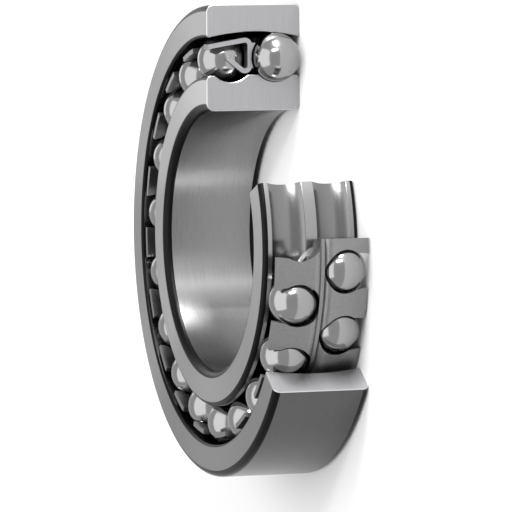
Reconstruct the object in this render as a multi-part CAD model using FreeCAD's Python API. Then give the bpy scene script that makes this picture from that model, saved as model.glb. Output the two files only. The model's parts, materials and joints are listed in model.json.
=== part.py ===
"""Sectioned self-aligning ball bearing, 55 mm bore, 100 mm outside, 21 mm wide.

The bearing axis is +Z and the origin is the centre of the bore, midway between the side faces.
Angles run from +X towards +Y. The radial plane on +Y is where all the parts are cut open, and
each of them then goes round past -X as far as its own second cut, on the +X side.
"""
import FreeCAD, Part
import math
import os

from FreeCAD import Vector

# Boundary sizes, in millimetres
bore_diameter = 55.0
outside_diameter = 100.0
width = 21.0
bore_corner_radius = 1.7
rim_corner_radius = 1.5

# Balls and their rows
ball_diameter = 10.32
ball_running_clearance = 0.04
least_ball_spacing = 2.3
row_spacing = 10.0

# Outer ring, whose raceway is one sphere about the origin
raceway_corner_radius = 0.6

# Inner ring, with one groove for each row
groove_conformity = 0.51
groove_depth = 1.45
centre_land_rise = 0.1

# Roundings beside each groove, as shares of the shoulder that they leave between them
shoulder_corner_share = 0.54
groove_edge_share = 0.16

# Cage, pressed in one piece from steel sheet for both rows
sheet_thickness = 1.0
web_half_gap = 0.3
bend_inside_radius = 0.6
cage_outer_clearance = 1.3
cage_inner_clearance = 0.35
flange_angle = 9.3
flange_setback = 0.4
hook_angle = 38.0
hook_past_row = 1.1
web_core_inset = 1.1
pocket_clearance = 0.3
window_inset = 0.56
mouth_inset = 1.31
mouth_start = 2.4
mouth_taper = 6.5

# How far round each part is left by the cut, in degrees from the first cut
first_cut_angle = 90.0
outer_ring_sweep_angle = 235.6
inner_ring_sweep_angle = 294.3
cage_sweep_angle = 274.2
first_ball_angle = 89.6
least_pocket_angle = 2.0

# How closely an edge has to lie to the place that a rounding is asked for
match_tolerance = 0.001

# Sizes that follow from those above
half_width = width / 2
bore_radius = bore_diameter / 2
outside_radius = outside_diameter / 2
ball_radius = ball_diameter / 2
row_offset = row_spacing / 2
pitch_radius = (bore_radius + outside_radius) / 2
ball_centre_distance = math.hypot(pitch_radius, row_offset)
contact_angle = math.atan2(row_offset, pitch_radius)
raceway_radius = ball_centre_distance + ball_radius + ball_running_clearance
groove_radius = groove_conformity * ball_diameter
groove_centre_distance = ball_centre_distance - ball_radius - ball_running_clearance + groove_radius
groove_centre_radius = groove_centre_distance * math.cos(contact_angle)
groove_centre_offset = groove_centre_distance * math.sin(contact_angle)
shoulder_radius = groove_centre_radius - groove_radius + groove_depth
centre_land_radius = shoulder_radius + centre_land_rise
balls_per_row = int(2 * math.pi * pitch_radius / (ball_diameter + least_ball_spacing))
ball_pitch_angle = 360.0 / balls_per_row

AXIS = Vector(0, 0, 1)
CENTRE = Vector(0, 0, 0)


def section_point(radius, height):
    """A point of the first cut plane, from its distance to the axis and its height."""
    angle = math.radians(first_cut_angle)
    return Vector(radius * math.cos(angle), radius * math.sin(angle), height)


def section_normal():
    """The direction square to the first cut plane."""
    angle = math.radians(first_cut_angle)
    return Vector(math.sin(angle), -math.cos(angle), 0)


def section_face(corners):
    """A flat face of straight sides in the first cut plane."""
    points = [section_point(radius, height) for radius, height in corners]
    return Part.Face(Part.makePolygon(points + points[:1]))


def section_disc(radius, height, disc_radius):
    """A round face in the first cut plane."""
    circle = Part.Circle(section_point(radius, height), section_normal(), disc_radius)
    return Part.Face(Part.Wire(circle.toShape()))


def rounded_section(corners):
    """A face whose corners, given as (radius, height, rounding), are tangent arcs."""
    points = [section_point(radius, height) for radius, height, _ in corners]
    edges = []
    ends = []
    for index, point in enumerate(points):
        before = (points[index - 1] - point).normalize()
        after = (points[(index + 1) % len(points)] - point).normalize()
        rounding = corners[index][2]
        if rounding == 0:
            ends.append((point, point))
            continue
        half_angle = before.getAngle(after) / 2
        reach = rounding / math.tan(half_angle)
        start = point + before * reach
        finish = point + after * reach
        bisector = (before + after).normalize()
        middle = point + bisector * (rounding / math.sin(half_angle) - rounding)
        ends.append((start, finish))
        edges.append(Part.Arc(start, middle, finish).toShape())
    for index, (_, finish) in enumerate(ends):
        start = ends[(index + 1) % len(ends)][0]
        edges.append(Part.LineSegment(finish, start).toShape())
    return Part.Face(Part.Wire(Part.__sortEdges__(edges)))


def sweep(face, angle):
    """The solid that a section leaves when it turns about the axis from the first cut."""
    return face.revolve(CENTRE, AXIS, angle)


def round_edges(solid, radius, height, rounding):
    """Rounds the circular edges at this radius, at this height above and below the middle."""
    chosen = []
    for edge in solid.Edges:
        if edge.Degenerated or not isinstance(edge.Curve, Part.Circle):
            continue
        centre = edge.Curve.Center
        on_axis = math.hypot(centre.x, centre.y) < match_tolerance
        at_height = abs(abs(centre.z) - height) < match_tolerance
        at_radius = abs(edge.Curve.Radius - radius) < match_tolerance
        if on_axis and at_height and at_radius:
            chosen.append(edge)
    return solid.makeFillet(rounding, chosen)


def ball_angles(first_angle):
    """Angles of the balls in one row whose pockets the cut leaves at least half whole."""
    last_angle = first_cut_angle + cage_sweep_angle - least_pocket_angle
    angles = []
    angle = first_angle
    while angle < last_angle:
        angles.append(angle)
        angle += ball_pitch_angle
    return angles


def ball_centre(angle, side):
    """Centre of a ball at an angle, on the +1 or -1 side of the middle plane."""
    turn = math.radians(angle)
    return Vector(pitch_radius * math.cos(turn), pitch_radius * math.sin(turn), side * row_offset)


# Each row: its name, its side of the middle plane and the angle of its first ball
ROWS = [
    ("rear", -1, first_ball_angle),
    ("front", 1, first_ball_angle + ball_pitch_angle / 2),
]


def make_outer_ring():
    """Ring with a plain outside and a spherical raceway that both rows share."""
    blank = section_face([
        (outside_radius, -half_width),
        (outside_radius, half_width),
        (shoulder_radius, half_width),
        (shoulder_radius, -half_width),
    ])
    ring = sweep(blank.cut(section_disc(0, 0, raceway_radius)), outer_ring_sweep_angle).Solids[0]
    ring = round_edges(ring, outside_radius, half_width, rim_corner_radius)
    raceway_edge_radius = math.sqrt(raceway_radius ** 2 - half_width ** 2)
    return round_edges(ring, raceway_edge_radius, half_width, raceway_corner_radius)


def groove_edge_height(land_radius, side):
    """Height at which a groove runs out into a land, on its outer (+1) or inner (-1) side."""
    rise = groove_centre_radius - land_radius
    return groove_centre_offset + side * math.sqrt(groove_radius ** 2 - rise ** 2)


def make_inner_ring():
    """Ring with a plain bore, two grooves, a centre land and a shoulder at each side."""
    ring_section = section_face([
        (bore_radius, -half_width),
        (bore_radius, half_width),
        (shoulder_radius, half_width),
        (shoulder_radius, groove_centre_offset),
        (centre_land_radius, groove_centre_offset),
        (centre_land_radius, -groove_centre_offset),
        (shoulder_radius, -groove_centre_offset),
        (shoulder_radius, -half_width),
    ])
    grooves = [
        section_disc(groove_centre_radius, side * groove_centre_offset, groove_radius)
        for side in (1, -1)
    ]
    ring = sweep(ring_section.cut(grooves), inner_ring_sweep_angle).Solids[0]
    outer_edge = groove_edge_height(shoulder_radius, 1)
    inner_edge = groove_edge_height(centre_land_radius, -1)
    shoulder_width = half_width - outer_edge
    corner_radius = shoulder_corner_share * shoulder_width
    edge_radius = groove_edge_share * shoulder_width
    ring = round_edges(ring, bore_radius, half_width, bore_corner_radius)
    ring = round_edges(ring, shoulder_radius, half_width, corner_radius)
    ring = round_edges(ring, shoulder_radius, outer_edge, edge_radius)
    return round_edges(ring, centre_land_radius, inner_edge, edge_radius)


def cage_half_section(side):
    """The bent sheet on one side: a flange, the web and a hook that rises between the balls."""
    outside_bend = bend_inside_radius + sheet_thickness
    bend_height = web_half_gap + outside_bend
    web_inside = web_half_gap + sheet_thickness
    flange = math.radians(flange_angle)
    hook = math.radians(hook_angle)

    # Outside of the flange, from the tangent of the upper bend out to the prong's tip
    tip_height = half_width - flange_setback
    top_bend_radius = raceway_radius - cage_outer_clearance - outside_bend
    flange_height = bend_height + outside_bend * math.sin(flange)
    flange_radius = top_bend_radius + outside_bend * math.cos(flange)

    def flange_at(height, depth):
        drop = (height - flange_height) * math.tan(flange)
        return flange_radius - drop - depth / math.cos(flange)

    # Underside of the hook, from the tangent of the lower bend out to its end
    end_height = row_offset + hook_past_row
    low_bend_radius = centre_land_radius + cage_inner_clearance + outside_bend
    hook_height = bend_height + outside_bend * math.sin(hook)
    hook_radius = low_bend_radius - outside_bend * math.cos(hook)

    def hook_at(height, depth):
        return hook_radius + (height - hook_height) * math.tan(hook) + depth / math.cos(hook)

    end_shift = sheet_thickness * math.sin(hook)
    end_rise = sheet_thickness * math.cos(hook)
    corners = [
        (flange_at(tip_height, 0), tip_height, 0),
        (flange_at(web_half_gap, 0), web_half_gap, outside_bend),
        (hook_at(web_half_gap, 0), web_half_gap, outside_bend),
        (hook_at(end_height, 0), end_height, 0),
        (hook_at(end_height, 0) + end_rise, end_height - end_shift, 0),
        (hook_at(web_inside, sheet_thickness), web_inside, bend_inside_radius),
        (flange_at(web_inside, sheet_thickness), web_inside, bend_inside_radius),
        (flange_at(tip_height, sheet_thickness), tip_height, 0),
    ]
    return rounded_section([(radius, side * height, bend) for radius, height, bend in corners])


def cage_core_section():
    """The metal that joins the two bent sides along the web."""
    core_top = raceway_radius - cage_outer_clearance - web_core_inset
    core_bottom = centre_land_radius + cage_inner_clearance + web_core_inset
    half_core = web_half_gap + sheet_thickness / 2
    return section_face([
        (core_top, half_core),
        (core_top, -half_core),
        (core_bottom, -half_core),
        (core_bottom, half_core),
    ])


def pocket_cutter(angle, side):
    """A ball's pocket: a hollow sphere, a round window outwards and a mouth to the side."""
    hollow = Part.makeSphere(ball_radius + pocket_clearance)
    window_radius = ball_radius - window_inset
    window_height = outside_radius - pitch_radius
    window = Part.makeCylinder(window_radius, window_height, CENTRE, Vector(1, 0, 0))

    # The mouth narrows to the prongs' tips, so that a ball snaps in past them
    wide = ball_radius - mouth_inset
    mouth_end = half_width - row_offset + flange_setback
    narrow = wide - (mouth_end - mouth_start) * math.tan(math.radians(mouth_taper))
    mouth_corners = [
        Vector(0, -wide, mouth_start),
        Vector(0, -narrow, mouth_end),
        Vector(0, narrow, mouth_end),
        Vector(0, wide, mouth_start),
        Vector(0, 0, 0),
    ]
    mouth_face = Part.Face(Part.makePolygon(mouth_corners + mouth_corners[:1]))
    mouth = mouth_face.extrude(Vector(window_height, 0, 0))

    cutter = hollow.fuse([window, mouth])
    if side < 0:
        cutter = cutter.mirror(CENTRE, AXIS)
    cutter.translate(Vector(pitch_radius, 0, side * row_offset))
    cutter.rotate(CENTRE, AXIS, angle)
    return cutter


def make_cage():
    """One pressed ring for both rows, with prongs that reach out between the balls."""
    sides = [sweep(cage_half_section(side), cage_sweep_angle) for side in (1, -1)]
    ring = sweep(cage_core_section(), cage_sweep_angle).fuse(sides).removeSplitter()
    cutters = []
    for _, side, first_angle in ROWS:
        for index in range(balls_per_row):
            cutters.append(pocket_cutter(first_angle + index * ball_pitch_angle, side))
    pieces = ring.cut(cutters).Solids
    return max(pieces, key=lambda piece: piece.Volume)


def make_ball(angle, side):
    """One ball, with its poles on the axis that it rolls about."""
    turn = math.radians(angle)
    tilt = -side * math.sin(contact_angle)
    rolling_axis = Vector(tilt * math.cos(turn), tilt * math.sin(turn), math.cos(contact_angle))
    return Part.makeSphere(ball_radius, ball_centre(angle, side), rolling_axis)


def main():
    os.makedirs("parts", exist_ok=True)
    shapes = {
        "outer_ring": make_outer_ring(),
        "inner_ring": make_inner_ring(),
        "cage": make_cage(),
    }
    for row, side, first_angle in ROWS:
        for number, angle in enumerate(ball_angles(first_angle), start=1):
            shapes[f"ball_{row}_{number:02d}"] = make_ball(angle, side)
    for name, shape in shapes.items():
        shape.exportStep(f"parts/{name}.step")
    print(balls_per_row, "balls a row when whole,", len(shapes) - 3, "left by the cut")


main()
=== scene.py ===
"""Sectioned self-aligning ball bearing: its rings, balls and pressed cage, and the bench it lies on.

The axis of the bearing is +Z and the radial plane on +Y is where every part is cut open. Each ring
is drawn as a section in that plane and spun about the axis as far as its own second cut.
"""
import json
import math

import bpy
from mathutils import Matrix, Vector


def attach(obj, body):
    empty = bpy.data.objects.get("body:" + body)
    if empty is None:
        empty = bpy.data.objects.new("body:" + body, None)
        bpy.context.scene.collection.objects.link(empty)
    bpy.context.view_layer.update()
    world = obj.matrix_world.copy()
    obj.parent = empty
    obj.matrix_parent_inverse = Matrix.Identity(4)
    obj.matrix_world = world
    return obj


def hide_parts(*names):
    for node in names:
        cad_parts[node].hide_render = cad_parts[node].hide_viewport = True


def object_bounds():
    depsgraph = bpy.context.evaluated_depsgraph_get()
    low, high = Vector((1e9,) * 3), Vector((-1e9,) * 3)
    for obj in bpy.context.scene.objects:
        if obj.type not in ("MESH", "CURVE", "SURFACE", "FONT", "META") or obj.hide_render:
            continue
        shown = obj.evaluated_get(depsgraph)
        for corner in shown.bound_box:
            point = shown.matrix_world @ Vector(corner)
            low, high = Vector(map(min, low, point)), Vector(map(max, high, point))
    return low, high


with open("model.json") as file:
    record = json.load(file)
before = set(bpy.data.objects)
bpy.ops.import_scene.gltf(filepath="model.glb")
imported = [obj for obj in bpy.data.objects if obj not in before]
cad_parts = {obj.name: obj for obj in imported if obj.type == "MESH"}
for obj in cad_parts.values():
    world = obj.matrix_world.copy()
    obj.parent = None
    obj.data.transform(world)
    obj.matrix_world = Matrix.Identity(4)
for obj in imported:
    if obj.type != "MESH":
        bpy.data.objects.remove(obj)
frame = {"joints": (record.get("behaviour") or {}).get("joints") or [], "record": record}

bl_info = {
    "name": "Sectioned Self-Aligning Ball Bearing",
    "version": (1, 0, 0),
    "blender": (4, 5, 0),
    "location": "View3D > Sidebar > Bearing",
    "description": "Builds a sectioned double-row self-aligning ball bearing on its bench",
    "category": "Object",
}

MM = 0.001
CAD_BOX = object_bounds()
RECORD = frame["record"]
FIRST_CUT = math.radians(90.0)

# Points nearer than this are one, and a face whose centre is this near a surface lies on it
MERGE_DISTANCE = 0.001 * MM
ON_SURFACE = 0.01 * MM

# A straight side of a section gets a holding point this far from each end, if it is long enough
HOLD = 0.08 * MM
SHORTEST_HELD = 4 * HOLD

# Steps along the arcs of a section, the finest on the smallest roundings
EDGE_STEP = 0.08 * MM
BEND_STEP = 0.12 * MM
CORNER_STEP = 0.15 * MM
GROOVE_STEP = 0.3 * MM
RACEWAY_STEP = 0.7 * MM
FEWEST_ARC_STEPS = 4

# Cuts across the sides of the cubes that become balls and hollows, and the sides of a window
BALL_CUTS = 31
HOLLOW_CUTS = 30
WINDOW_SIDES = 70

# Edges where faces meet at more than this stay sharp
RING_CREASE = math.radians(30)
CAGE_CREASE = math.radians(40)
BALL_CREASE = math.radians(60)

# Material slots of a ring, and of the cage
SIDE_FACE, GROUND_ROUND, RACEWAY, BRUSHED_CUT, BROKEN_EDGE, CORNER = range(6)
SHEET, SAWN_END = range(2)


def mount(name):
    """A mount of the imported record, by its name."""
    return next(entry for entry in RECORD["mounts"] if entry["name"] == name)


def linear(hex_colour):
    """An sRGB hex colour as linear red, green and blue."""
    values = []
    for start in (0, 2, 4):
        share = int(hex_colour[start:start + 2], 16) / 255
        dark = share <= 0.04045
        values.append(share / 12.92 if dark else ((share + 0.055) / 1.055) ** 2.4)
    return tuple(values)


# Where the balls run, read from the joints that they roll about
BALL_PLACES = {
    joint["child"]: Vector(joint["pos_m"])
    for joint in frame["joints"]
    if joint["child"].startswith("ball_")
}
FIRST_BALL = BALL_PLACES["ball_rear_01"]
PITCH_RADIUS = FIRST_BALL.xy.length
ROW_OFFSET = abs(FIRST_BALL.z)
FIRST_BALL_ANGLE = math.atan2(FIRST_BALL.y, FIRST_BALL.x)
BALL_PITCH = BALL_PLACES["ball_rear_02"].xy.angle(FIRST_BALL.xy)


class BearingSections(bpy.types.PropertyGroup):
    """Sizes of the ring sections and the balls."""

    outside_radius: bpy.props.FloatProperty(
        name="Outside radius", description="Half of the outside diameter",
        default=50.0 * MM, unit="LENGTH", subtype="DISTANCE")
    bore_radius: bpy.props.FloatProperty(
        name="Bore radius", description="Half of the bore diameter",
        default=mount("bore")["dims"]["r_mm"] * MM, unit="LENGTH", subtype="DISTANCE")
    half_width: bpy.props.FloatProperty(
        name="Half width", description="From the middle plane to a side face",
        default=mount("outer_ring_front_face")["pos_m"][2], unit="LENGTH", subtype="DISTANCE")
    ball_radius: bpy.props.FloatProperty(
        name="Ball radius", description="Half of the ball diameter",
        default=5.16 * MM, unit="LENGTH", subtype="DISTANCE")
    running_clearance: bpy.props.FloatProperty(
        name="Running clearance", description="Gap between a ball and each raceway",
        default=0.04 * MM, unit="LENGTH", subtype="DISTANCE")
    groove_radius: bpy.props.FloatProperty(
        name="Groove radius", description="Radius of a groove's section in the inner ring",
        default=5.2632 * MM, unit="LENGTH", subtype="DISTANCE")
    groove_depth: bpy.props.FloatProperty(
        name="Groove depth", description="Depth of a groove below its outer shoulder",
        default=1.45 * MM, unit="LENGTH", subtype="DISTANCE")
    land_rise: bpy.props.FloatProperty(
        name="Centre land rise", description="How far the centre land stands above the shoulders",
        default=0.1 * MM, unit="LENGTH", subtype="DISTANCE")
    rim_corner: bpy.props.FloatProperty(
        name="Rim corner", description="Rounding between the outside and the side faces",
        default=1.5 * MM, unit="LENGTH", subtype="DISTANCE")
    raceway_corner: bpy.props.FloatProperty(
        name="Raceway corner", description="Rounding between the raceway and the side faces",
        default=0.6 * MM, unit="LENGTH", subtype="DISTANCE")
    bore_corner: bpy.props.FloatProperty(
        name="Bore corner", description="Rounding between the bore and the side faces",
        default=1.7 * MM, unit="LENGTH", subtype="DISTANCE")
    shoulder_corner: bpy.props.FloatProperty(
        name="Shoulder corner", description="Rounding between a shoulder and its side face",
        default=1.0 * MM, unit="LENGTH", subtype="DISTANCE")
    groove_edge: bpy.props.FloatProperty(
        name="Groove edge", description="Rounding where a groove runs out into a land",
        default=0.3 * MM, unit="LENGTH", subtype="DISTANCE")
    cut_edge: bpy.props.FloatProperty(
        name="Cut edge", description="Width of the broken edge round a cut face",
        default=0.14 * MM, unit="LENGTH", subtype="DISTANCE")
    outer_sweep: bpy.props.FloatProperty(
        name="Outer ring sweep", description="How far round the outer ring is left by the cut",
        default=math.radians(235.6), unit="ROTATION", subtype="ANGLE")
    inner_sweep: bpy.props.FloatProperty(
        name="Inner ring sweep", description="How far round the inner ring is left by the cut",
        default=math.radians(294.3), unit="ROTATION", subtype="ANGLE")
    sweep_step: bpy.props.FloatProperty(
        name="Sweep step", description="Turn from one section of a ring's mesh to the next",
        default=math.radians(1.0), unit="ROTATION", subtype="ANGLE")


class BearingCage(bpy.types.PropertyGroup):
    """Sizes of the pressed cage."""

    sheet: bpy.props.FloatProperty(
        name="Sheet thickness", description="Thickness of the steel sheet",
        default=1.0 * MM, unit="LENGTH", subtype="DISTANCE")
    half_gap: bpy.props.FloatProperty(
        name="Half gap", description="From the middle plane to the web's own face",
        default=0.3 * MM, unit="LENGTH", subtype="DISTANCE")
    inside_bend: bpy.props.FloatProperty(
        name="Inside bend", description="Inside radius of every bend",
        default=0.6 * MM, unit="LENGTH", subtype="DISTANCE")
    outer_clearance: bpy.props.FloatProperty(
        name="Outer clearance", description="From the raceway to the top of the bends",
        default=1.3 * MM, unit="LENGTH", subtype="DISTANCE")
    inner_clearance: bpy.props.FloatProperty(
        name="Inner clearance", description="From the centre land to the bottom of the bends",
        default=0.35 * MM, unit="LENGTH", subtype="DISTANCE")
    flange_angle: bpy.props.FloatProperty(
        name="Flange angle", description="How far a flange leans in towards its tip",
        default=math.radians(9.3), unit="ROTATION", subtype="ANGLE")
    flange_setback: bpy.props.FloatProperty(
        name="Flange setback", description="From a prong's tip to the ring's side face",
        default=0.4 * MM, unit="LENGTH", subtype="DISTANCE")
    hook_angle: bpy.props.FloatProperty(
        name="Hook angle", description="How steeply a hook leaves the web",
        default=math.radians(38.0), unit="ROTATION", subtype="ANGLE")
    hook_past_row: bpy.props.FloatProperty(
        name="Hook past row", description="How far a hook reaches beyond its row's centres",
        default=1.1 * MM, unit="LENGTH", subtype="DISTANCE")
    valley_depth: bpy.props.FloatProperty(
        name="Valley depth", description="Depth of the crease between the two sides",
        default=1.1 * MM, unit="LENGTH", subtype="DISTANCE")
    pocket_clearance: bpy.props.FloatProperty(
        name="Pocket clearance", description="Gap between a ball and its pocket",
        default=0.3 * MM, unit="LENGTH", subtype="DISTANCE")
    window_inset: bpy.props.FloatProperty(
        name="Window inset", description="How much less a window's radius is than a ball's",
        default=0.56 * MM, unit="LENGTH", subtype="DISTANCE")
    mouth_inset: bpy.props.FloatProperty(
        name="Mouth inset", description="How much less a mouth's half width is than a ball's",
        default=1.31 * MM, unit="LENGTH", subtype="DISTANCE")
    mouth_start: bpy.props.FloatProperty(
        name="Mouth start", description="From a row's centres to where its mouths begin",
        default=2.4 * MM, unit="LENGTH", subtype="DISTANCE")
    mouth_taper: bpy.props.FloatProperty(
        name="Mouth taper", description="How far the sides of a mouth close in",
        default=math.radians(6.5), unit="ROTATION", subtype="ANGLE")
    sweep: bpy.props.FloatProperty(
        name="Cage sweep", description="How far round the cage is left by the cut",
        default=math.radians(274.2), unit="ROTATION", subtype="ANGLE")


class BearingFinishes(bpy.types.PropertyGroup):
    """Colours of the finishes, and the real sizes of their marks."""

    outer_face_colour: bpy.props.FloatVectorProperty(
        name="Outer ring face", description="Colour of the outer ring's ground side faces",
        default=linear("929292"), subtype="COLOR", size=3)
    inner_face_colour: bpy.props.FloatVectorProperty(
        name="Inner ring face", description="Colour of the inner ring's finer ground side faces",
        default=linear("A6A6A6"), subtype="COLOR", size=3)
    bore_colour: bpy.props.FloatVectorProperty(
        name="Ground bore", description="Colour of the ground bore and of the inner ring's lands",
        default=linear("949494"), subtype="COLOR", size=3)
    # Painted shade: the outside gets a far darker colour than the bore, which is the same ground
    # steel, standing in for the dark floor and shadow it reflects.
    outside_painted_shade_colour: bpy.props.FloatVectorProperty(
        name="Ground outside", description="Colour of the outside, ground and painted darker as shade",
        default=linear("5A5A5A"), subtype="COLOR", size=3)
    honed_colour: bpy.props.FloatVectorProperty(
        name="Honed steel", description="Colour of the honed raceways",
        default=linear("7A7A7A"), subtype="COLOR", size=3)
    sawn_colour: bpy.props.FloatVectorProperty(
        name="Brushed cut steel", description="Colour of the brushed cut faces",
        default=linear("A3A3A5"), subtype="COLOR", size=3)
    # Partly painted highlight: the broken edge is real and catches light, and its colour is also
    # painted lighter than the cut face.
    edge_painted_highlight_colour: bpy.props.FloatVectorProperty(
        name="Broken edge", description="Colour of the broken edges round the cut faces",
        default=linear("C0C0C1"), subtype="COLOR", size=3)
    # Painted shade: the roundings are painted near black to stand in for the dark reflections they
    # show.
    corner_painted_dark_colour: bpy.props.FloatVectorProperty(
        name="Painted dark corner", description="Colour of the turned corners, painted near black as shade",
        default=linear("1C1C1C"), subtype="COLOR", size=3)
    lapped_colour: bpy.props.FloatVectorProperty(
        name="Lapped steel", description="Colour of the lapped balls",
        default=linear("969696"), subtype="COLOR", size=3)
    sheet_colour: bpy.props.FloatVectorProperty(
        name="Pressed sheet", description="Colour of the tumbled cage sheet",
        default=linear("858585"), subtype="COLOR", size=3)
    grind_pitch: bpy.props.FloatProperty(
        name="Grinding pitch", description="Spacing of the grinding marks",
        default=0.12 * MM, unit="LENGTH", subtype="DISTANCE")
    brush_pitch: bpy.props.FloatProperty(
        name="Brushing pitch", description="Spacing of the brush marks on a cut face",
        default=0.16 * MM, unit="LENGTH", subtype="DISTANCE")
    tumble_size: bpy.props.FloatProperty(
        name="Tumbling marks", description="Size of the marks that tumbling leaves on the cage",
        default=0.5 * MM, unit="LENGTH", subtype="DISTANCE")
    cloud_size: bpy.props.FloatProperty(
        name="Lapping clouds", description="Size of the faint clouds that lapping leaves on a ball",
        default=4.0 * MM, unit="LENGTH", subtype="DISTANCE")


class BearingStage(bpy.types.PropertyGroup):
    """The bench, the lamps and the camera."""

    camera_azimuth: bpy.props.FloatProperty(
        name="Camera azimuth", description="From the bearing's axis towards the cut away side",
        default=math.radians(70.08), unit="ROTATION", subtype="ANGLE")
    camera_elevation: bpy.props.FloatProperty(
        name="Camera elevation", description="Towards the cut plane, out of the middle",
        default=math.radians(4.463), unit="ROTATION", subtype="ANGLE")
    camera_roll: bpy.props.FloatProperty(
        name="Camera roll", description="Turn of the camera about its own line of sight",
        default=math.radians(-0.139), unit="ROTATION", subtype="ANGLE")
    camera_distance: bpy.props.FloatProperty(
        name="Camera distance", description="From the middle of the bore to the camera",
        default=1136.442 * MM, unit="LENGTH", subtype="DISTANCE")
    camera_right: bpy.props.FloatProperty(
        name="Camera right", description="How far the camera stands to its own right",
        default=0.463 * MM, unit="LENGTH", subtype="DISTANCE")
    camera_up: bpy.props.FloatProperty(
        name="Camera up", description="How far the camera stands above the middle",
        default=-3.436 * MM, unit="LENGTH", subtype="DISTANCE")
    focal_length: bpy.props.FloatProperty(
        name="Focal length", description="Lens, in millimetres on a 36 mm wide sensor",
        default=375.98, unit="CAMERA")
    bench_colour: bpy.props.FloatVectorProperty(
        name="Bench colour", description="Colour of the pale bench top",
        default=linear("EAEAEA"), subtype="COLOR", size=3)
    bench_reach: bpy.props.FloatProperty(
        name="Bench reach", description="Half of the bench's side",
        default=3.0, unit="LENGTH", subtype="DISTANCE")
    room_strength: bpy.props.FloatProperty(
        name="Room light", description="Strength of the light from the room", default=0.75)


def tool_mode(mode):
    """Goes to edit or object mode if the scene isn't in it."""
    if bpy.context.object and bpy.context.object.mode != mode:
        bpy.ops.object.mode_set(mode=mode)


def put_down():
    """Goes to object mode with nothing selected."""
    tool_mode("OBJECT")
    bpy.ops.object.select_all(action="DESELECT")


def pick_up(piece):
    """Goes to object mode with this piece alone selected and active."""
    put_down()
    piece.select_set(True)
    bpy.context.view_layer.objects.active = piece


def named(name):
    """The primitive that was just added, under its name."""
    piece = bpy.context.object
    piece.name = name
    piece.data.name = name
    return piece


def into_scene(name, data):
    """A new object in the scene that holds this mesh, light or lens."""
    thing = bpy.data.objects.new(name, data)
    bpy.context.scene.collection.objects.link(thing)
    return thing


def start_piece(name, place, size):
    """A new plane primitive, alone selected and in edit mode."""
    put_down()
    bpy.ops.mesh.primitive_plane_add(size=size, location=place)
    piece = named(name)
    tool_mode("EDIT")
    return piece


def start_outline(name, place):
    """A new piece in edit mode that is one vertex, from which its outline is drawn."""
    piece = start_piece(name, place, MM)
    bpy.ops.mesh.select_all(action="SELECT")
    bpy.ops.mesh.merge(type="CENTER")
    return piece


def fill_outline():
    """Joins the two ends of the drawn outline and fills it with one face."""
    bpy.ops.mesh.select_all(action="SELECT")
    bpy.ops.mesh.remove_doubles(threshold=MERGE_DISTANCE)
    bpy.ops.mesh.edge_face_add()


def extrude_along(points):
    """Extrudes what is selected from each point to the next."""
    for here, there in zip(points, points[1:]):
        bpy.ops.mesh.extrude_region_move(TRANSFORM_OT_translate={"value": there - here})


def settle(piece):
    """Leaves edit mode and puts the piece's place into its mesh."""
    pick_up(piece)
    bpy.ops.object.transform_apply(location=True, rotation=True, scale=True)


def close_and_face_out():
    """Merges the seams of the mesh being edited and turns its faces outwards."""
    bpy.ops.mesh.select_all(action="SELECT")
    bpy.ops.mesh.remove_doubles(threshold=MERGE_DISTANCE)
    bpy.ops.mesh.normals_make_consistent(inside=False)


def in_section(radius, height):
    """A point of the first cut plane."""
    return Vector((radius * math.cos(FIRST_CUT), radius * math.sin(FIRST_CUT), height))


def flip(point):
    """A section's point turned over to the other side of the middle plane, if there is one."""
    return point and (point[0], -point[1])


def draw_line(start, finish):
    """Extrudes the last vertex along a straight side, with a holding point near each end."""
    way = finish - start
    stops = [finish]
    if way.length > SHORTEST_HELD:
        stops = [start + way.normalized() * HOLD, finish - way.normalized() * HOLD, finish]
    extrude_along([start] + stops)


def draw_arc(centre, start, finish, step_length):
    """Spins the last vertex along a round stretch of the section, the shorter way."""
    before = start - centre
    after = finish - centre
    turn = before.angle(after)
    axis = after.cross(before).normalized()
    steps = max(FEWEST_ARC_STEPS, round(turn * before.length / step_length))
    bpy.ops.mesh.spin(steps=steps, angle=turn, center=centre, axis=axis)


def draw_section(name, stretches):
    """A flat face in the first cut plane whose outline is the given lines and arcs.

    A stretch is (centre, finish, step length) for an arc, or (None, finish, None) for a line.
    """
    here = in_section(*stretches[-1][1])
    piece = start_outline(name, here)
    for centre, finish, step_length in stretches:
        there = in_section(*finish)
        if centre is None:
            draw_line(here, there)
        else:
            draw_arc(in_section(*centre), here, there, step_length)
        here = there
    fill_outline()
    return piece


def spin_ring(piece, sweep, step, edge, mean_radius):
    """Spins the drawn section about the axis and breaks the sharp edges of its two cut faces."""
    setback = edge / mean_radius
    bpy.ops.mesh.select_all(action="SELECT")
    bpy.ops.transform.rotate(value=-setback, orient_axis="Z", center_override=(0, 0, 0))
    bpy.ops.mesh.spin(
        steps=round(sweep / step), angle=sweep - 2 * setback, center=(0, 0, 0), axis=(0, 0, -1))
    close_and_face_out()
    bpy.ops.mesh.select_all(action="DESELECT")
    tool_mode("OBJECT")
    caps = sorted(piece.data.polygons, key=lambda face: face.loop_total)[-2:]
    for face in caps:
        face.select = True
    tool_mode("EDIT")
    bpy.ops.mesh.inset(thickness=edge, depth=edge, use_even_offset=True)
    settle(piece)


def paint(piece, finishes, choose):
    """Gives the piece its finishes and each face the one that choose(face) names."""
    for material in finishes:
        piece.data.materials.append(material)
    for face in piece.data.polygons:
        face.material_index = choose(face)


def smooth(piece, crease):
    """Shades the piece smooth except where faces meet at more than this angle."""
    pick_up(piece)
    bpy.ops.object.shade_smooth_by_angle(angle=crease)


def hand_over(piece, node, body):
    """The piece takes the place of a CAD node and moves with its body."""
    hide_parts(node)
    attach(piece, body)


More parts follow.
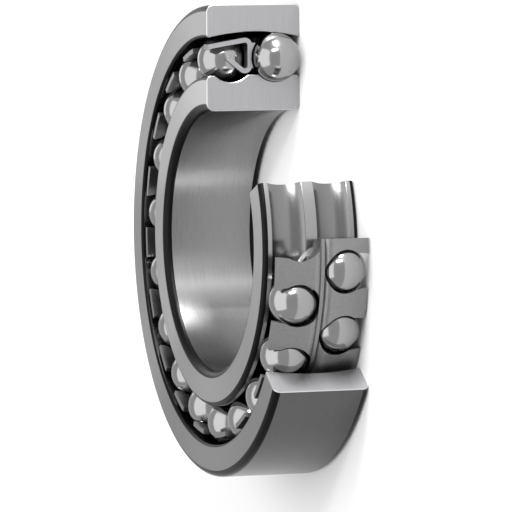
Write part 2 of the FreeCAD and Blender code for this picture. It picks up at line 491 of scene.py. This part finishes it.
def add_node(tree, kind, settings=None, inputs=None):
    """Adds a shader node, with its settings and the values or links of its inputs."""
    node = tree.nodes.new(kind)
    for name, value in (settings or {}).items():
        setattr(node, name, value)
    for name, value in (inputs or {}).items():
        if isinstance(value, bpy.types.NodeSocket):
            tree.links.new(value, node.inputs[name])
        else:
            node.inputs[name].default_value = value
    return node


def new_finish(name):
    """An empty material, and the tree that its nodes go into."""
    material = bpy.data.materials.new(name)
    material.use_nodes = True
    tree = material.node_tree
    tree.nodes.clear()
    return material, tree


def polar_place(tree):
    """Sockets for the distance to the axis, the angle about it and the height along it."""
    place = add_node(tree, "ShaderNodeTexCoord").outputs["Object"]
    split = add_node(tree, "ShaderNodeSeparateXYZ", inputs={0: place})
    across, along, height = split.outputs
    flat = add_node(tree, "ShaderNodeCombineXYZ", inputs={0: across, 1: along})
    radius = add_node(
        tree, "ShaderNodeVectorMath", {"operation": "LENGTH"}, {0: flat.outputs[0]})
    angle = add_node(
        tree, "ShaderNodeMath", {"operation": "ARCTAN2"}, {0: along, 1: across})
    outwards = add_node(
        tree, "ShaderNodeVectorMath", {"operation": "NORMALIZE"}, {0: flat.outputs[0]})
    upwards = add_node(tree, "ShaderNodeCombineXYZ", inputs={2: 1.0})
    return {
        "radius": radius.outputs["Value"], "angle": angle.outputs[0], "height": height,
        "outwards": outwards.outputs[0], "upwards": upwards.outputs[0],
    }


def streaks(tree, across, pitch, along, along_scale, detail):
    """Noise drawn out into long marks: fine across them, slow along them."""
    fine = add_node(
        tree, "ShaderNodeMath", {"operation": "MULTIPLY"}, {0: across, 1: 1 / pitch})
    slow = add_node(
        tree, "ShaderNodeMath", {"operation": "MULTIPLY"}, {0: along, 1: along_scale})
    place = add_node(
        tree, "ShaderNodeCombineXYZ", inputs={0: fine.outputs[0], 1: slow.outputs[0]})
    noise = add_node(
        tree, "ShaderNodeTexNoise", {"noise_dimensions": "3D"},
        {"Vector": place.outputs[0], "Scale": 1.0, "Detail": detail, "Roughness": 0.6})
    return noise.outputs["Fac"]


# How deep the dimples are that tumbling leaves
DIMPLE_DEPTH = 0.01 * MM

# Noise seldom leaves this range
NOISE_LOW = 0.3
NOISE_HIGH = 0.7


def spread(tree, value, low, high):
    """Maps the range that a noise value mostly keeps to on to low to high."""
    ranged = add_node(
        tree, "ShaderNodeMapRange",
        inputs={
            "Value": value, "From Min": NOISE_LOW, "From Max": NOISE_HIGH,
            "To Min": low, "To Max": high})
    return ranged.outputs["Result"]


def tint(tree, colour, value, low, high):
    """The colour, lighter and darker by a factor that follows a noise value."""
    factor = spread(tree, value, low, high)
    scaled = add_node(
        tree, "ShaderNodeVectorMath", {"operation": "SCALE"}, {0: colour, "Scale": factor})
    return scaled.outputs[0]


def finish_metal(tree, colour, marks, tints, roughness, others):
    """The metal shader and the output: colour and roughness follow the marks between two ends."""
    shader = add_node(
        tree, "ShaderNodeBsdfPrincipled",
        inputs={
            "Base Color": tint(tree, colour, marks, *tints),
            "Roughness": spread(tree, marks, *roughness),
            "Metallic": 1.0, **others})
    add_node(tree, "ShaderNodeOutputMaterial", inputs={"Surface": shader.outputs[0]})


def marked_steel(
        name, colour, across, pitch, along, along_scale, detail, tints, roughness,
        anisotropy=None, tangent=None):
    """Steel with long marks, a pitch apart one way and drawn out along the other."""
    material, tree = new_finish(name)
    polar = polar_place(tree)
    marks = streaks(tree, polar[across], pitch, polar[along], along_scale, detail)
    grain = {"Anisotropic": anisotropy, "Tangent": polar[tangent]} if tangent else {}
    finish_metal(tree, colour, marks, tints, roughness, grain)
    return material


def ground_face_steel(name, colour, pitch, roughness):
    """Bearing steel, face ground: fine rings about the axis that draw highlights out radially."""
    return marked_steel(
        name, colour, across="radius", pitch=pitch, along="angle", along_scale=3.0, detail=3.0,
        tints=(0.92, 1.06), roughness=roughness, anisotropy=0.85, tangent="outwards")


def ground_round_steel(name, colour, pitch):
    """Bearing steel, ground between centres: fine marks that run round the bore and outside."""
    return marked_steel(
        name, colour, across="height", pitch=pitch, along="angle", along_scale=3.0, detail=3.0,
        tints=(0.94, 1.05), roughness=(0.26, 0.34), anisotropy=0.8, tangent="upwards")


def honed_raceway_steel(colours):
    """Bearing steel, honed: soft reflections and the faintest marks round the axis."""
    return marked_steel(
        "honed_raceway_steel", colours.honed_colour, across="height",
        pitch=colours.grind_pitch, along="angle", along_scale=2.0, detail=2.0,
        tints=(0.96, 1.02), roughness=(0.2, 0.25), anisotropy=0.5, tangent="upwards")


def painted_dark_corner_steel(colours):
    """Bearing steel on the roundings, its colour painted near black: a painted dark reflection, in
    place of the dark surroundings that these roundings face.
    """
    return marked_steel(
        "painted_dark_corner_steel", colours.corner_painted_dark_colour, across="height",
        pitch=colours.grind_pitch, along="angle", along_scale=4.0, detail=3.0,
        tints=(0.85, 1.15), roughness=(0.3, 0.4))


def brushed_cut_steel(colours):
    """Steel, cut through and brushed: straight marks that run out from the axis."""
    return marked_steel(
        "brushed_cut_steel", colours.sawn_colour, across="height",
        pitch=colours.brush_pitch, along="radius", along_scale=60.0, detail=4.0,
        tints=(0.9, 1.08), roughness=(0.34, 0.44), anisotropy=0.5, tangent="upwards")


def broken_edge_steel(colours):
    """The edge of a cut face, broken with a fine stone, so that it catches the light; its colour is
    also painted lighter than the cut face, a painted highlight.
    """
    return marked_steel(
        "broken_edge_steel", colours.edge_painted_highlight_colour, across="height",
        pitch=colours.brush_pitch, along="radius", along_scale=900.0, detail=2.0,
        tints=(0.95, 1.08), roughness=(0.28, 0.38))


def clouds(tree, size, detail):
    """Noise with clouds of this size, the same all ways."""
    place = add_node(tree, "ShaderNodeTexCoord").outputs["Object"]
    noise = add_node(
        tree, "ShaderNodeTexNoise", {"noise_dimensions": "3D"},
        {"Vector": place, "Scale": 1 / size, "Detail": detail})
    return noise.outputs["Fac"]


def lapped_ball_steel(colours):
    """Bearing steel, lapped: bright, with soft reflections and the faintest cloud from the paste."""
    material, tree = new_finish("lapped_ball_steel")
    cloud = clouds(tree, colours.cloud_size, detail=2.0)
    finish_metal(
        tree, colours.lapped_colour, cloud, tints=(0.98, 1.02), roughness=(0.13, 0.17), others={})
    return material


def tumbled_sheet_steel(colours):
    """Low carbon steel sheet, pressed and tumbled: an even satin grey with faint dimples."""
    material, tree = new_finish("tumbled_sheet_steel")
    dimples = clouds(tree, colours.tumble_size, detail=3.0)
    bump = add_node(
        tree, "ShaderNodeBump",
        inputs={"Height": dimples, "Distance": DIMPLE_DEPTH, "Strength": 1.0})
    finish_metal(
        tree, colours.sheet_colour, dimples, tints=(0.92, 1.06), roughness=(0.34, 0.44),
        others={"Normal": bump.outputs[0]})
    return material


def inner_ring_lands(sizes):
    """The groove's centre and the radii of the shoulders and of the centre land."""
    contact = math.atan2(ROW_OFFSET, PITCH_RADIUS)
    reach = math.hypot(PITCH_RADIUS, ROW_OFFSET) - sizes.ball_radius
    reach += sizes.groove_radius - sizes.running_clearance
    groove_at = (reach * math.cos(contact), reach * math.sin(contact))
    shoulder = groove_at[0] - sizes.groove_radius + sizes.groove_depth
    return groove_at, shoulder, shoulder + sizes.land_rise


def raceway_radius(sizes):
    """Radius of the outer ring's spherical raceway."""
    return math.hypot(PITCH_RADIUS, ROW_OFFSET) + sizes.ball_radius + sizes.running_clearance


# The least cosine between the way round the axis and the normal of a cut face or of its edge
CUT_FACING = 0.5
QUAD = 4


def is_cut_face(face):
    """Whether a ring's face belongs to one of its two cut faces, or to the edge round it."""
    outwards = Vector((face.center.x, face.center.y, 0)).normalized()
    about = Vector((-outwards.y, outwards.x, 0))
    return abs(face.normal.dot(about)) > CUT_FACING


def cut_finish(face):
    """The brushed middle of a cut is one face of many sides, and quads are its broken edge."""
    return BROKEN_EDGE if face.loop_total <= QUAD else BRUSHED_CUT


def dress_ring(ring, side_steel, round_steel, finishes, choose):
    """Gives a ring the finishes of its six material slots, and shades it."""
    paint(ring, [
        side_steel, round_steel, honed_raceway_steel(finishes), brushed_cut_steel(finishes),
        broken_edge_steel(finishes), painted_dark_corner_steel(finishes),
    ], choose)
    smooth(ring, RING_CREASE)


class BEARING_OT_outer_ring(bpy.types.Operator):
    """Draw the outer ring's section and spin it to its second cut"""

    bl_idname = "bearing.outer_ring"
    bl_label = "Outer Ring"

    def execute(self, context):
        sizes = context.scene.bearing_sections
        finishes = context.scene.bearing_finishes
        outside = sizes.outside_radius
        half = sizes.half_width
        rim = sizes.rim_corner
        corner = sizes.raceway_corner
        raceway = raceway_radius(sizes)
        corner_radius = math.sqrt((raceway + corner) ** 2 - (half - corner) ** 2)
        share = raceway / (raceway + corner)
        race_start = (corner_radius * share, (half - corner) * share)

        stretches = [
            (None, (outside, half - rim), None),
            ((outside - rim, half - rim), (outside - rim, half), CORNER_STEP),
            (None, (corner_radius, half), None),
            ((corner_radius, half - corner), race_start, EDGE_STEP),
            ((0, 0), flip(race_start), RACEWAY_STEP),
            ((corner_radius, corner - half), (corner_radius, -half), EDGE_STEP),
            (None, (outside - rim, -half), None),
            ((outside - rim, rim - half), (outside, rim - half), CORNER_STEP),
        ]
        ring = draw_section("outer_ring_sectioned", stretches)
        spin_ring(ring, sizes.outer_sweep, sizes.sweep_step, sizes.cut_edge, raceway)

        def choose(face):
            if is_cut_face(face):
                return cut_finish(face)
            if abs(face.center.z) > half - ON_SURFACE:
                return SIDE_FACE
            if face.center.xy.length > outside - ON_SURFACE:
                return GROUND_ROUND
            # The middle of a flat face lies a little inside the sphere
            if abs(face.center.length - raceway) < 2 * ON_SURFACE:
                return RACEWAY
            return CORNER

        pitch = finishes.grind_pitch
        side_steel = ground_face_steel(
            "ground_outer_face_steel", finishes.outer_face_colour, pitch, (0.3, 0.42))
        # The outside's darker colour is painted shade, in place of the dark surroundings that it
        # would reflect.
        round_steel = ground_round_steel("ground_outside_steel_painted_shade", finishes.outside_painted_shade_colour, pitch)
        dress_ring(ring, side_steel, round_steel, finishes, choose)
        hand_over(ring, "outer_ring", "outer_ring")
        return {"FINISHED"}


class BEARING_OT_inner_ring(bpy.types.Operator):
    """Draw the inner ring's section with its two grooves and spin it to its second cut"""

    bl_idname = "bearing.inner_ring"
    bl_label = "Inner Ring"

    def execute(self, context):
        sizes = context.scene.bearing_sections
        finishes = context.scene.bearing_finishes
        bore = sizes.bore_radius
        half = sizes.half_width
        bore_corner = sizes.bore_corner
        shoulder_corner = sizes.shoulder_corner
        groove = sizes.groove_radius
        edge = sizes.groove_edge
        groove_at, shoulder, land = inner_ring_lands(sizes)

        def run_out(land_radius, side):
            """Where the rounding between a land and a groove has its centre and its two ends."""
            radius = land_radius - edge
            fall = groove_at[0] - radius
            height = groove_at[1] + side * math.sqrt((groove + edge) ** 2 - fall ** 2)
            share = groove / (groove + edge)
            on_groove = (
                groove_at[0] + (radius - groove_at[0]) * share,
                groove_at[1] + (height - groove_at[1]) * share)
            return (radius, height), (land_radius, height), on_groove

        outer_centre, on_shoulder, outer_end = run_out(shoulder, 1)
        inner_centre, on_land, inner_end = run_out(land, -1)

        stretches = [
            (None, (bore, bore_corner - half), None),
            ((bore + bore_corner, bore_corner - half), (bore + bore_corner, -half), CORNER_STEP),
            (None, (shoulder - shoulder_corner, -half), None),
            ((shoulder - shoulder_corner, shoulder_corner - half),
             (shoulder, shoulder_corner - half), BEND_STEP),
            (None, flip(on_shoulder), None),
            (flip(outer_centre), flip(outer_end), EDGE_STEP),
            (flip(groove_at), flip(inner_end), GROOVE_STEP),
            (flip(inner_centre), flip(on_land), EDGE_STEP),
            (None, on_land, None),
            (inner_centre, inner_end, EDGE_STEP),
            (groove_at, outer_end, GROOVE_STEP),
            (outer_centre, on_shoulder, EDGE_STEP),
            (None, (shoulder, half - shoulder_corner), None),
            ((shoulder - shoulder_corner, half - shoulder_corner),
             (shoulder - shoulder_corner, half), BEND_STEP),
            (None, (bore + bore_corner, half), None),
            ((bore + bore_corner, half - bore_corner), (bore, half - bore_corner), CORNER_STEP),
        ]
        ring = draw_section("inner_ring_sectioned", stretches)
        spin_ring(ring, sizes.inner_sweep, sizes.sweep_step, sizes.cut_edge, shoulder)

        def choose(face):
            if is_cut_face(face):
                return cut_finish(face)
            radius = face.center.xy.length
            height = abs(face.center.z)
            if height > half - ON_SURFACE:
                return SIDE_FACE
            if radius < bore + ON_SURFACE:
                return GROUND_ROUND
            past_bore = radius > bore + bore_corner
            if past_bore and height < outer_end[1] and radius < land - 3 * ON_SURFACE:
                return RACEWAY
            if past_bore and height < half - shoulder_corner:
                return GROUND_ROUND
            return CORNER

        pitch = finishes.grind_pitch
        side_steel = ground_face_steel(
            "ground_inner_face_steel", finishes.inner_face_colour, pitch, (0.28, 0.4))
        round_steel = ground_round_steel("ground_bore_steel", finishes.bore_colour, pitch)
        dress_ring(ring, side_steel, round_steel, finishes, choose)
        hand_over(ring, "inner_ring", "inner_ring")
        return {"FINISHED"}


def cube_ball(name, place, radius, cuts):
    """A cube, subdivided and drawn out to a true sphere about its centre."""
    put_down()
    bpy.ops.mesh.primitive_cube_add(size=2 * radius, location=place)
    ball = named(name)
    tool_mode("EDIT")
    bpy.ops.mesh.select_all(action="SELECT")
    bpy.ops.mesh.subdivide(number_cuts=cuts)
    bpy.ops.transform.tosphere(value=1.0)
    tool_mode("OBJECT")
    reach = ball.data.vertices[0].co.length
    ball.scale = [radius / reach] * 3
    settle(ball)
    return ball


def pocket_tools(sizes, cage, angle, side):
    """The three tools that cut one ball's pocket: hollow, window and mouth."""
    reach = sizes.outside_radius - PITCH_RADIUS
    height = side * ROW_OFFSET
    hollow = cube_ball(
        "pocket_hollow", (PITCH_RADIUS, 0, height), sizes.ball_radius + cage.pocket_clearance,
        HOLLOW_CUTS)

    put_down()
    bpy.ops.mesh.primitive_cylinder_add(
        vertices=WINDOW_SIDES, radius=sizes.ball_radius - cage.window_inset, depth=reach,
        location=(PITCH_RADIUS + reach / 2, 0, height), rotation=(0, math.pi / 2, 0))
    window = named("pocket_window")

    wide = sizes.ball_radius - cage.mouth_inset
    mouth_end = sizes.half_width - ROW_OFFSET + cage.flange_setback
    narrow = wide - (mouth_end - cage.mouth_start) * math.tan(cage.mouth_taper)
    corners = [
        (-wide, cage.mouth_start), (-narrow, mouth_end), (narrow, mouth_end),
        (wide, cage.mouth_start), (0, 0)]
    points = [Vector((PITCH_RADIUS, across, height + side * up)) for across, up in corners]
    mouth = start_outline("pocket_mouth", points[-1])
    extrude_along([points[-1]] + points)
    fill_outline()
    bpy.ops.mesh.extrude_region_move(TRANSFORM_OT_translate={"value": (reach, 0, 0)})
    close_and_face_out()

    for tool in (hollow, window, mouth):
        settle(tool)
        tool.rotation_euler = (0, 0, angle)
        settle(tool)
    return [hollow, window, mouth]


def cut_away(piece, tool):
    """Takes the tool's volume out of the piece, and the tool out of the scene."""
    pick_up(piece)
    bpy.ops.object.modifier_add(type="BOOLEAN")
    cut = piece.modifiers[-1]
    cut.operation = "DIFFERENCE"
    cut.solver = "EXACT"
    cut.object = tool
    bpy.ops.object.modifier_apply(modifier=cut.name)
    bpy.data.objects.remove(tool)


def cage_section(sizes, cage):
    """The lines and arcs of the pressed sheet, bent to a flange and a hook on both sides."""
    land = inner_ring_lands(sizes)[2]
    outside_bend = cage.inside_bend + cage.sheet
    bend_height = cage.half_gap + outside_bend
    top_bend = (raceway_radius(sizes) - cage.outer_clearance - outside_bend, bend_height)
    low_bend = (land + cage.inner_clearance + outside_bend, bend_height)
    flange = cage.flange_angle
    hook = cage.hook_angle

    def off(centre, distance, turn):
        """A point at a distance from a bend's centre, turned from outwards towards the side."""
        return (centre[0] + distance * math.cos(turn), centre[1] + distance * math.sin(turn))

    # The valley that the two sides leave between their bends, above and below the web
    valley_reach = outside_bend - cage.valley_depth
    valley_height = bend_height - math.sqrt(outside_bend ** 2 - valley_reach ** 2)
    top_valley = (top_bend[0] + valley_reach, valley_height)
    low_valley = (low_bend[0] - valley_reach, valley_height)

    # The flange, out to the prong's tip
    tip_height = sizes.half_width - cage.flange_setback
    flange_out = off(top_bend, outside_bend, flange)
    flange_in = off(top_bend, cage.inside_bend, flange)
    tip_out = (flange_out[0] - (tip_height - flange_out[1]) * math.tan(flange), tip_height)
    tip_in = (flange_in[0] - (tip_height - flange_in[1]) * math.tan(flange), tip_height)

    # The hook, up to its end between the balls
    end_height = ROW_OFFSET + cage.hook_past_row
    hook_out = off(low_bend, outside_bend, math.pi - hook)
    hook_in = off(low_bend, cage.inside_bend, math.pi - hook)
    end_out = (hook_out[0] + (end_height - hook_out[1]) * math.tan(hook), end_height)
    end_in = (
        end_out[0] + cage.sheet * math.cos(hook), end_height - cage.sheet * math.sin(hook))
    web_top = (top_bend[0], cage.half_gap + cage.sheet)
    web_low = (low_bend[0], cage.half_gap + cage.sheet)

    one_side = [
        (top_bend, flange_out, BEND_STEP), (None, tip_out, None), (None, tip_in, None),
        (None, flange_in, None), (top_bend, web_top, BEND_STEP), (None, web_low, None),
        (low_bend, hook_in, BEND_STEP), (None, end_in, None), (None, end_out, None),
        (None, hook_out, None), (low_bend, low_valley, BEND_STEP)]

    # The other side is the same way run backwards, with its heights turned over
    stops = [top_valley] + [stop for _, stop, _ in one_side]
    other_side = [
        (flip(one_side[index][0]), flip(stops[index]), one_side[index][2])
        for index in reversed(range(len(one_side)))]
    return (
        one_side + [(None, flip(low_valley), None)] + other_side + [(None, top_valley, None)])


def one_pocket_length(sizes, cage):
    """The cage from the middle of one front pocket to the next, with all its pockets cut."""
    length = draw_section("cage_length", cage_section(sizes, cage))
    bpy.ops.mesh.select_all(action="SELECT")
    bpy.ops.mesh.spin(
        steps=round(BALL_PITCH / sizes.sweep_step), angle=BALL_PITCH,
        center=(0, 0, 0), axis=(0, 0, -1))
    close_and_face_out()
    settle(length)
    places = [
        (FIRST_CUT, 1), (FIRST_CUT + BALL_PITCH / 2, -1), (FIRST_CUT + BALL_PITCH, 1)]
    for angle, side in places:
        for tool in pocket_tools(sizes, cage, angle, side):
            cut_away(length, tool)
    return length


# The least cosine between a plane's normal and that of a face which lies in it
SAME_WAY = 0.99


def way_round(angle):
    """The way round the axis at this angle, square to the plane through the axis there."""
    return Vector((-math.sin(angle), math.cos(angle), 0))


def lies_in_plane(face, angle):
    """Whether a face lies in the plane through the axis at this angle."""
    about = way_round(angle)
    in_plane = abs(face.center.dot(about)) < ON_SURFACE / 2
    return in_plane and abs(face.normal.dot(about)) > SAME_WAY


def open_end(length, angle):
    """Deletes the faces that close a length of the cage where the next one joins it."""
    tool_mode("EDIT")
    bpy.ops.mesh.select_mode(type="FACE")
    bpy.ops.mesh.select_all(action="DESELECT")
    tool_mode("OBJECT")
    for face in length.data.polygons:
        face.select = lies_in_plane(face, angle)
    tool_mode("EDIT")
    bpy.ops.mesh.delete(type="FACE")
    bpy.ops.mesh.select_mode(type="VERT")
    tool_mode("OBJECT")


def saw_off(length, angle, keep_before):
    """Cuts a length of the cage through at an angle, closes the cut and drops the waste."""
    tool_mode("EDIT")
    bpy.ops.mesh.select_all(action="SELECT")
    bpy.ops.mesh.bisect(
        plane_co=(0, 0, 0), plane_no=way_round(angle), use_fill=True,
        clear_inner=not keep_before, clear_outer=keep_before, threshold=MERGE_DISTANCE / 10)
    tool_mode("OBJECT")


class BEARING_OT_balls(bpy.types.Operator):
    """Model one ball from a cube and copy it to every place in both rows"""

    bl_idname = "bearing.balls"
    bl_label = "Balls"

    def execute(self, context):
        radius = context.scene.bearing_sections.ball_radius
        pattern = cube_ball("ball_pattern", (0, 0, 0), radius, BALL_CUTS)
        pattern.data.materials.append(lapped_ball_steel(context.scene.bearing_finishes))
        smooth(pattern, BALL_CREASE)
        for name, place in BALL_PLACES.items():
            ball = into_scene(f"{name}_lapped", pattern.data.copy())
            ball.data.name = ball.name
            ball.data.transform(Matrix.Translation(place))
            hand_over(ball, name, name)
        bpy.data.objects.remove(pattern)
        return {"FINISHED"}


class BEARING_OT_cage(bpy.types.Operator):
    """Press one length of the cage, copy it round and saw it off at both cuts"""

    bl_idname = "bearing.cage"
    bl_label = "Pressed Cage"

    def execute(self, context):
        sizes = context.scene.bearing_sections
        cage = context.scene.bearing_cage
        finishes = context.scene.bearing_finishes
        pattern = one_pocket_length(sizes, cage)
        first_end = FIRST_BALL_ANGLE - BALL_PITCH / 2
        last_cut = FIRST_CUT + cage.sweep
        count = math.ceil((last_cut - first_end) / BALL_PITCH)
        lengths = []
        for index in range(count):
            start = first_end + index * BALL_PITCH
            finish = start + BALL_PITCH
            length = into_scene(f"cage_length_{index:02d}", pattern.data.copy())
            length.data.transform(Matrix.Rotation(start - FIRST_CUT, 4, "Z"))
            pick_up(length)
            if index == 0:
                saw_off(length, FIRST_CUT, False)
            else:
                open_end(length, start)
            if index == count - 1:
                saw_off(length, last_cut, True)
            else:
                open_end(length, finish)
            lengths.append(length)
        bpy.data.objects.remove(pattern)

        pick_up(lengths[0])
        for length in lengths:
            length.select_set(True)
        bpy.ops.object.join()
        whole = named("cage_pressed")
        tool_mode("EDIT")
        close_and_face_out()
        tool_mode("OBJECT")

        def choose(face):
            sawn = lies_in_plane(face, FIRST_CUT) or lies_in_plane(face, last_cut)
            return SAWN_END if sawn else SHEET

        paint(whole, [tumbled_sheet_steel(finishes), brushed_cut_steel(finishes)], choose)
        smooth(whole, CAGE_CREASE)
        hand_over(whole, "cage", "cage")
        return {"FINISHED"}


# Cuts across the bench top, each way
BENCH_CUTS = 3


def lay_bench(stage):
    """A pale bench top under the bearing, which keeps its shadow."""
    bench = start_piece("bench_top", (0, 0, CAD_BOX[0][2]), 2 * stage.bench_reach)
    bpy.ops.mesh.select_all(action="SELECT")
    bpy.ops.mesh.subdivide(number_cuts=BENCH_CUTS)
    settle(bench)
    material, tree = new_finish("pale_bench_laminate")
    matt = add_node(tree, "ShaderNodeBsdfDiffuse", inputs={"Color": (*stage.bench_colour, 1)})
    add_node(tree, "ShaderNodeOutputMaterial", inputs={"Surface": matt.outputs[0]})
    bench.data.materials.append(material)


def light_room(context, stage):
    """Plain light from the room, the same from all sides."""
    room = bpy.data.worlds.new("studio_room")
    context.scene.world = room
    room.use_nodes = True
    tree = room.node_tree
    tree.nodes.clear()
    lit = add_node(
        tree, "ShaderNodeBackground",
        inputs={"Color": (1, 1, 1, 1), "Strength": stage.room_strength})
    add_node(tree, "ShaderNodeOutputWorld", inputs={"Surface": lit.outputs[0]})


# The soft boxes. Each has its angle about the axis and its rise above the middle plane, in degrees,
# its distance, width and height in metres, and its power in watts.
LAMPS = {
    "key_over_top": (73, 6, 0.8, 0.26, 0.14, 13.0),
    "band_through_cut": (43, 18, 0.8, 0.1, 0.36, 2.6),
    "wide_overhead": (0, 84, 1.0, 1.5, 1.3, 8.0),
    "beside_faces": (166, 17, 0.172, 0.08, 0.06, 0.013),
}


def hang_lamps():
    """Soft boxes turned to the bearing."""
    for name, (angle, rise, distance, width, height, power) in LAMPS.items():
        light = bpy.data.lights.new(name, "AREA")
        light.shape = "RECTANGLE"
        light.size = width
        light.size_y = height
        light.energy = power
        lamp = into_scene(name, light)
        turn = math.radians(angle)
        climb = math.radians(rise)
        way = Vector((
            math.cos(turn) * math.cos(climb), math.sin(turn) * math.cos(climb), math.sin(climb)))
        lamp.location = way * distance
        lamp.rotation_euler = way.to_track_quat("Z", "Y").to_euler()
        lamp.visible_camera = False


# The width in millimetres that the focal length goes with, and how many metres the camera sees
SENSOR_WIDTH = 36.0
SIGHT = 10.0


def set_camera(context, stage):
    """The camera at the photograph's angle, turned so that the cut plane is upright."""
    azimuth = stage.camera_azimuth
    elevation = stage.camera_elevation
    towards = Vector((
        math.cos(elevation) * math.sin(azimuth), math.sin(elevation),
        math.cos(elevation) * math.cos(azimuth)))
    level = (-towards).cross(Vector((0, 1, 0))).normalized()
    upright = level.cross(-towards)
    roll = stage.camera_roll
    right = level * math.cos(roll) + upright * math.sin(roll)
    up = upright * math.cos(roll) - level * math.sin(roll)
    lens = bpy.data.cameras.new("photograph_lens")
    lens.sensor_width = SENSOR_WIDTH
    lens.lens = stage.focal_length
    lens.clip_end = SIGHT
    camera = into_scene("photograph_camera", lens)
    turned = Matrix((right, up, towards)).transposed().to_4x4()
    place = towards * stage.camera_distance + right * stage.camera_right + up * stage.camera_up
    camera.matrix_world = Matrix.Translation(place) @ turned
    context.scene.camera = camera


class BEARING_OT_stage(bpy.types.Operator):
    """Lay the bench, hang the lamps and set the camera"""

    bl_idname = "bearing.stage"
    bl_label = "Bench, Lamps and Camera"

    def execute(self, context):
        stage = context.scene.bearing_stage
        lay_bench(stage)
        light_room(context, stage)
        hang_lamps()
        set_camera(context, stage)
        context.scene.view_settings.view_transform = "Standard"
        return {"FINISHED"}


class BEARING_PT_panel(bpy.types.Panel):
    """The bearing's pieces, sizes and finishes"""

    bl_idname = "BEARING_PT_panel"
    bl_label = "Sectioned Bearing"
    bl_space_type = "VIEW_3D"
    bl_region_type = "UI"
    bl_category = "Bearing"

    def draw(self, context):
        scene = context.scene
        layout = self.layout
        for group in (getattr(scene, name) for name in BEARING_GROUPS):
            box = layout.box()
            for name in group.bl_rna.properties.keys():
                if name not in ("rna_type", "name"):
                    box.prop(group, name)
        for operator in BEARING_OPERATORS:
            layout.operator(operator.bl_idname)


BEARING_OPERATORS = (
    BEARING_OT_outer_ring,
    BEARING_OT_inner_ring,
    BEARING_OT_cage,
    BEARING_OT_balls,
    BEARING_OT_stage,
)
BEARING_GROUPS = {
    "bearing_sections": BearingSections,
    "bearing_cage": BearingCage,
    "bearing_finishes": BearingFinishes,
    "bearing_stage": BearingStage,
}


def register():
    """Registers the property groups, the operators and the panel."""
    for name, group in BEARING_GROUPS.items():
        bpy.utils.register_class(group)
        setattr(bpy.types.Scene, name, bpy.props.PointerProperty(type=group))
    for operator in BEARING_OPERATORS:
        bpy.utils.register_class(operator)
    bpy.utils.register_class(BEARING_PT_panel)


def unregister():
    """Takes back what register added."""
    bpy.utils.unregister_class(BEARING_PT_panel)
    for operator in reversed(BEARING_OPERATORS):
        bpy.utils.unregister_class(operator)
    for name, group in reversed(BEARING_GROUPS.items()):
        delattr(bpy.types.Scene, name)
        bpy.utils.unregister_class(group)


def main():
    """Builds every piece and the stage."""
    register()
    bpy.ops.bearing.outer_ring()
    bpy.ops.bearing.inner_ring()
    bpy.ops.bearing.cage()
    bpy.ops.bearing.balls()
    bpy.ops.bearing.stage()


if __name__ == "__main__":
    main()
